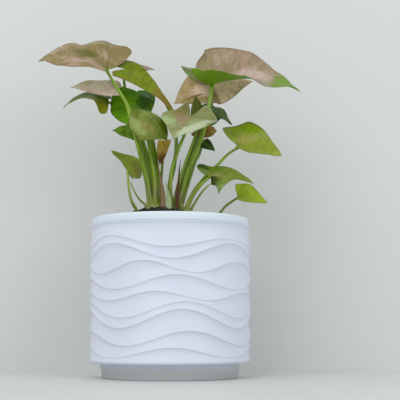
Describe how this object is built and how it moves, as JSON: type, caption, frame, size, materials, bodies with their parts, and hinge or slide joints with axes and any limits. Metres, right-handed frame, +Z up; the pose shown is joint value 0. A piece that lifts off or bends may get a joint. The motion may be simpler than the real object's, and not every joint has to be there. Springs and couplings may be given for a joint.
{
  "type": "potted syngonium",
  "caption": "Arrowhead plant with pink and green leaves on long petioles, in a white cylindrical planter with wavy horizontal ridges and a recessed straight foot.",
  "frame": {"origin": "centre of the planter's flat underside", "axes": "+Z up along the planter's axis, the front as pictured is the -Y side, +X is to the right"},
  "size_m": [0.2322, 0.1404, 0.3013],
  "materials": {
    "planter": "satin",
    "liner": "satin",
    "soil": "matte",
    "petiole": "satin",
    "leaf_pink": "satin",
    "leaf_mint": "satin",
    "leaf_green": "satin",
    "leaf_dark": "satin",
    "leaf_yellow": "satin",
    "leaf_dry": "matte"
  },
  "bodies": {
    "root": {"planter": "planter", "liner": "liner", "soil": "soil", "shoot_left": "petiole", "shoot_right": "petiole", "shoot_front_right": "petiole", "stalk_low_left": "petiole", "stalk_thin_left": "petiole", "stalk_low_right": "petiole", "leaf_upper_left": "leaf_pink", "leaf_arching_left": "leaf_yellow", "leaf_rear_left": "leaf_pink", "leaf_side_left": "leaf_pink", "leaf_hooked_left": "leaf_green", "leaf_dark_left": "leaf_dark", "leaf_front_left": "leaf_green", "leaf_small_left": "leaf_dark", "leaf_low_left": "leaf_green", "leaf_front_centre": "leaf_mint", "leaf_upright_centre": "leaf_dry", "leaf_rear_centre": "leaf_pink", "leaf_rear_right": "leaf_pink", "leaf_upper_right": "leaf_pink", "leaf_dark_right": "leaf_dark", "leaf_dark_rear": "leaf_dark", "leaf_brown": "leaf_dry", "leaf_curled": "leaf_dark", "leaf_side_right": "leaf_green", "leaf_hooked_right": "leaf_green", "leaf_low_right": "leaf_yellow", "leaf_withered": "leaf_dry"}
  },
  "joints": []
}
